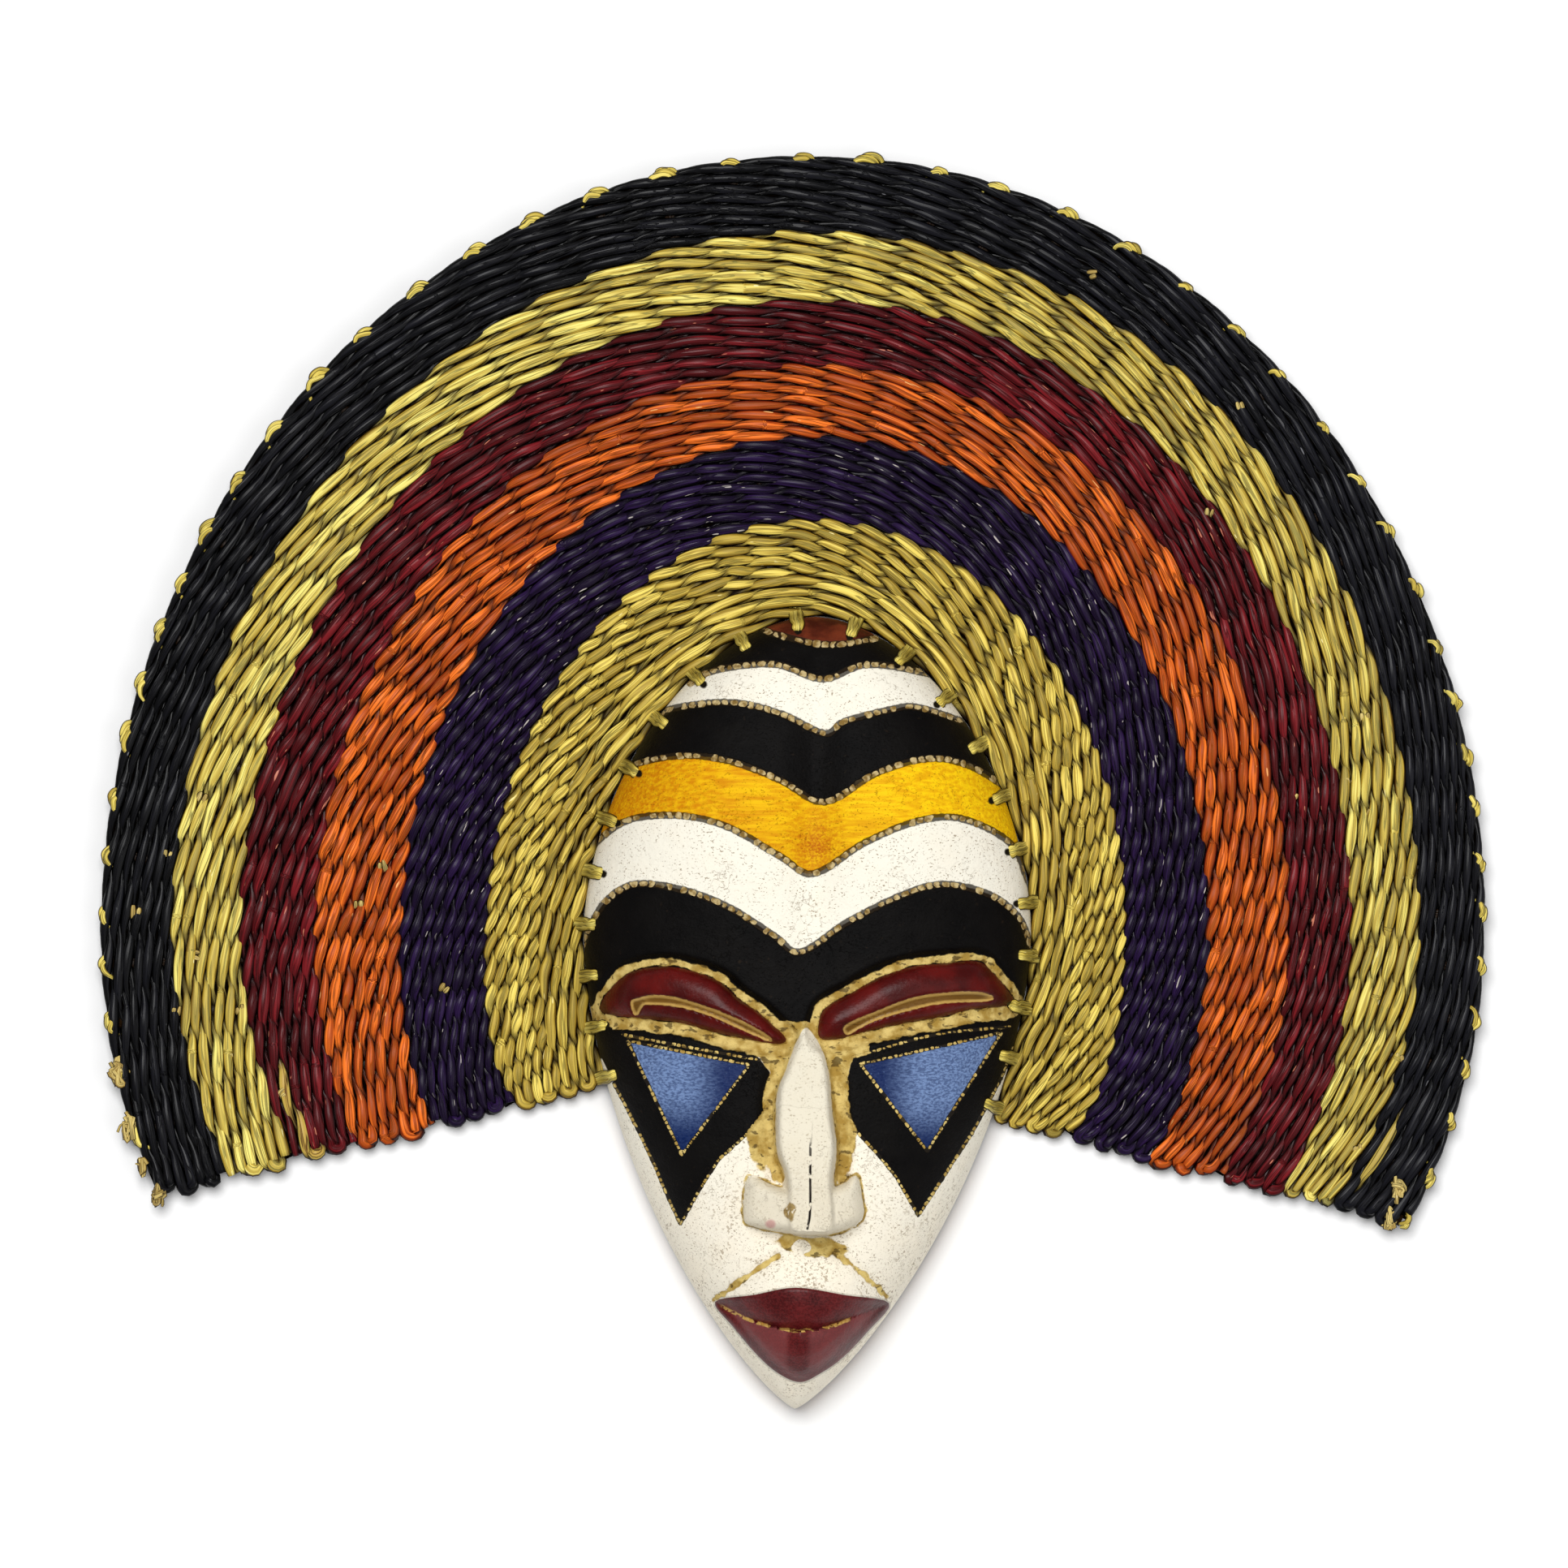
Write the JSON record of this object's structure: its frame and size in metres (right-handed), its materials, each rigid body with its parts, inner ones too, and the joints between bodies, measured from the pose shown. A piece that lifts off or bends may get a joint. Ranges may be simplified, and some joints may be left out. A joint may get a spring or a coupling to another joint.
{
  "type": "carved wooden mask with a woven raffia fan",
  "caption": "Carved and painted wooden face mask in a broad woven fan of dyed raffia bands, a display or dance mask of West African kind, lying on its back.",
  "frame": {"origin": "middle of the part's footprint, on the floor under its back rim", "axes": "the mask lies on its back: +Z out of the face, +Y towards the top of the fan, +X to the viewer's right"},
  "size_m": [0.4243, 0.3849, 0.0626],
  "materials": {
    "painted_wood": "semi-gloss paint on carved light wood, bare in the hollow",
    "straw_raffia": "matt twined plant fibre, straw yellow",
    "purple_raffia": "matt twined plant fibre, dyed purple",
    "orange_raffia": "matt twined plant fibre, dyed orange",
    "burgundy_raffia": "matt twined plant fibre, dyed burgundy",
    "black_raffia": "matt twined plant fibre, dyed black",
    "natural_raffia": "undyed raffia cord"
  },
  "bodies": {
    "root": {"carved_mask": "painted_wood", "straw_band_inner": "straw_raffia", "purple_band": "purple_raffia", "orange_band": "orange_raffia", "burgundy_band": "burgundy_raffia", "straw_band_outer": "straw_raffia", "black_band": "black_raffia", "warp_cord_01": "natural_raffia", "warp_cord_02": "natural_raffia", "warp_cord_03": "natural_raffia", "warp_cord_04": "natural_raffia", "warp_cord_05": "natural_raffia", "warp_cord_06": "natural_raffia", "warp_cord_07": "natural_raffia", "warp_cord_08": "natural_raffia", "warp_cord_09": "natural_raffia", "warp_cord_10": "natural_raffia", "warp_cord_11": "natural_raffia", "warp_cord_12": "natural_raffia", "warp_cord_13": "natural_raffia", "warp_cord_14": "natural_raffia", "warp_cord_15": "natural_raffia", "warp_cord_16": "natural_raffia", "warp_cord_17": "natural_raffia", "warp_cord_18": "natural_raffia", "warp_cord_19": "natural_raffia", "warp_cord_20": "natural_raffia", "warp_cord_21": "natural_raffia", "warp_cord_22": "natural_raffia"}
  },
  "joints": []
}
